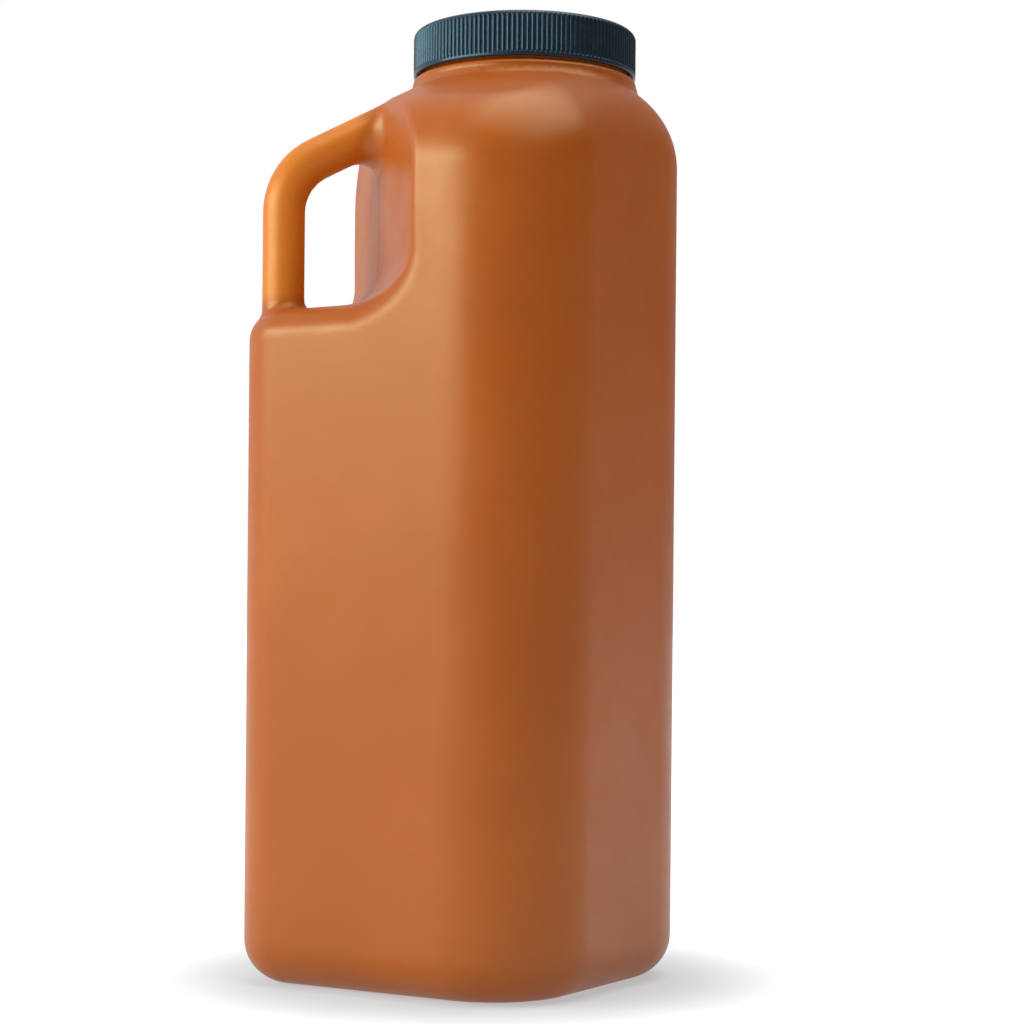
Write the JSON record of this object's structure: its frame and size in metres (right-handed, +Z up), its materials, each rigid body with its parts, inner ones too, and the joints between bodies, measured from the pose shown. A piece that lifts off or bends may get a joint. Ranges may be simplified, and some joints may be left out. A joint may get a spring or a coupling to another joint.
{
  "type": "detergent bottle",
  "caption": "Square blow-moulded plastic detergent jug with a loop handle over one corner and a wide mouth closed by a fluted screw cap with a foam liner.",
  "frame": {"origin": "centre of the square base, on the plane that the bottle stands on", "axes": "+Z up through the mouth; X and Y along the flat sides, with the handle over the -X -Y corner and the neck towards the +X +Y corner"},
  "size_m": [0.114, 0.114, 0.3051],
  "materials": {
    "bottle_plastic": "satin orange-brown polyethylene, blow moulded",
    "cap_plastic": "satin blue-black polypropylene, injection moulded",
    "liner_foam": "off-white closed-cell polyethylene foam"
  },
  "bodies": {
    "bottle": {"bottle": "bottle_plastic"},
    "liner": {"cap_liner": "liner_foam"},
    "cap": {"screw_cap": "cap_plastic"}
  },
  "joints": [
    {"name": "cap_rise", "type": "slide", "parent": "bottle", "child": "liner", "axis": [0, 0, 1], "range_m": [0, 0.017]},
    {"name": "cap_turn", "type": "hinge", "parent": "liner", "child": "cap", "pos_m": [0.0112, 0.0112, 0.298], "axis": [0, 0, 1], "range_deg": [0, 1440]}
  ],
  "couplings": [
    {"joint": "cap_rise", "follows": "cap_turn", "m_per_rad": 0.0006737}
  ]
}
